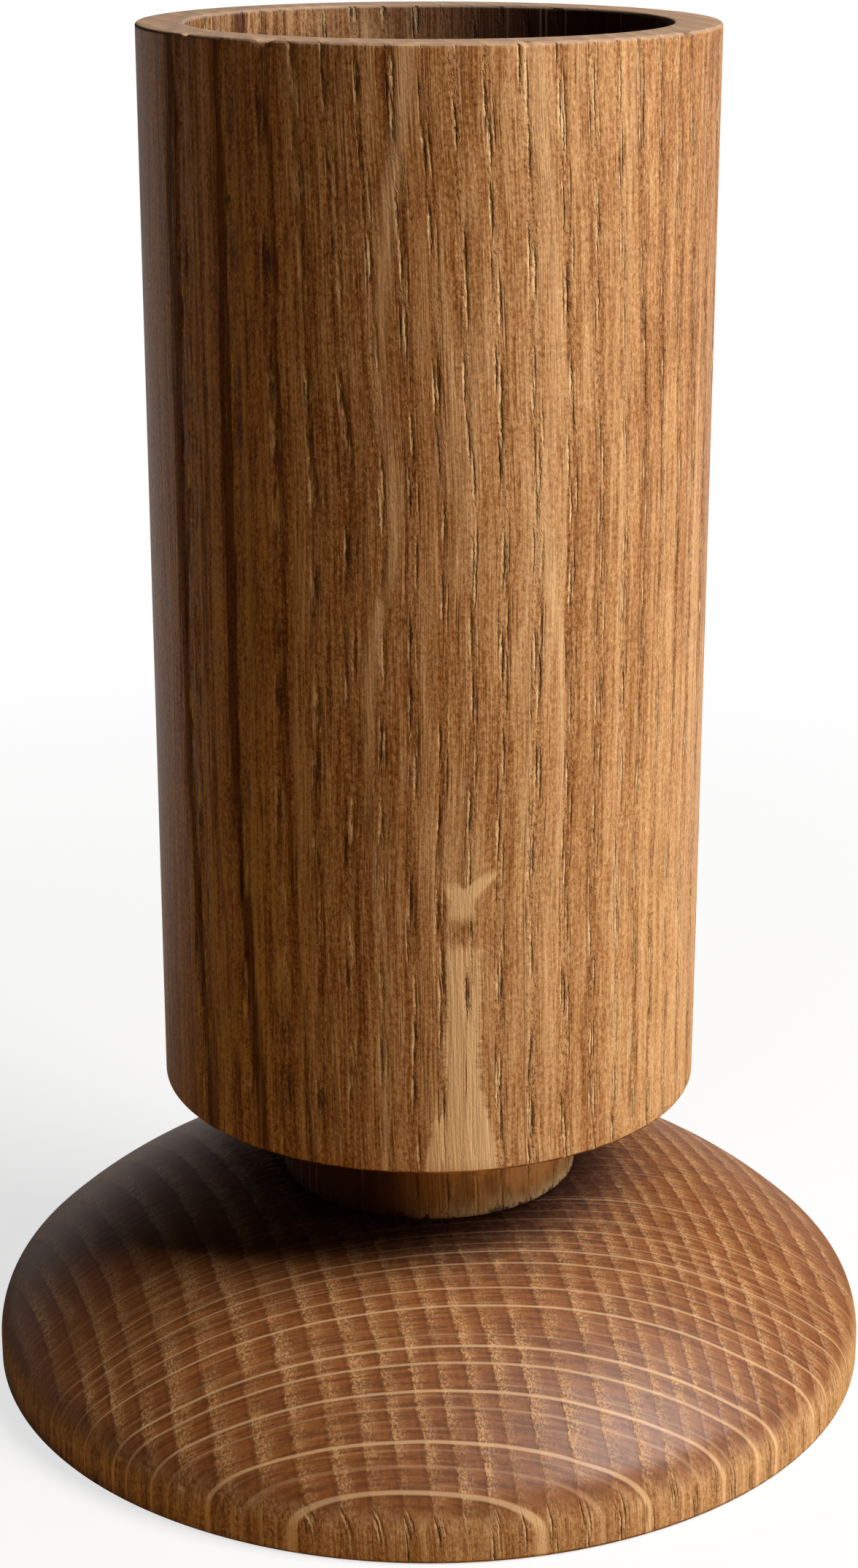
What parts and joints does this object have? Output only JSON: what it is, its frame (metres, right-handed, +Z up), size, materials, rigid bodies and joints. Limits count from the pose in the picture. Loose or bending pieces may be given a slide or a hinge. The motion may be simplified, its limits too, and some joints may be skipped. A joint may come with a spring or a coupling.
{
  "type": "wooden vase",
  "caption": "Turned oak flower vase: a straight hollow cup on a short neck and a domed round base, with a lift-out glass liner that holds the water.",
  "frame": {"origin": "centre of the standing ring under the base, on the turning axis", "axes": "+Z up along the turning axis, -Y towards the viewer of the picture, +X to that viewer's right"},
  "size_m": [0.1, 0.1, 0.15],
  "materials": {
    "oak_base": "oiled oak end grain on a dome, satin",
    "oak_neck": "oiled oak, long grain, satin",
    "oak_cup": "oiled oak, open pores and ray fleck, satin",
    "liner_glass": "clear, polished"
  },
  "bodies": {
    "vase": {"base": "oak_base", "neck": "oak_neck", "cup": "oak_cup"},
    "liner": {"glass_liner": "liner_glass"}
  },
  "joints": [
    {"name": "liner_lift", "type": "slide", "parent": "vase", "child": "liner", "axis": [0, 0, 1], "range_m": [0, 0.11]}
  ]
}
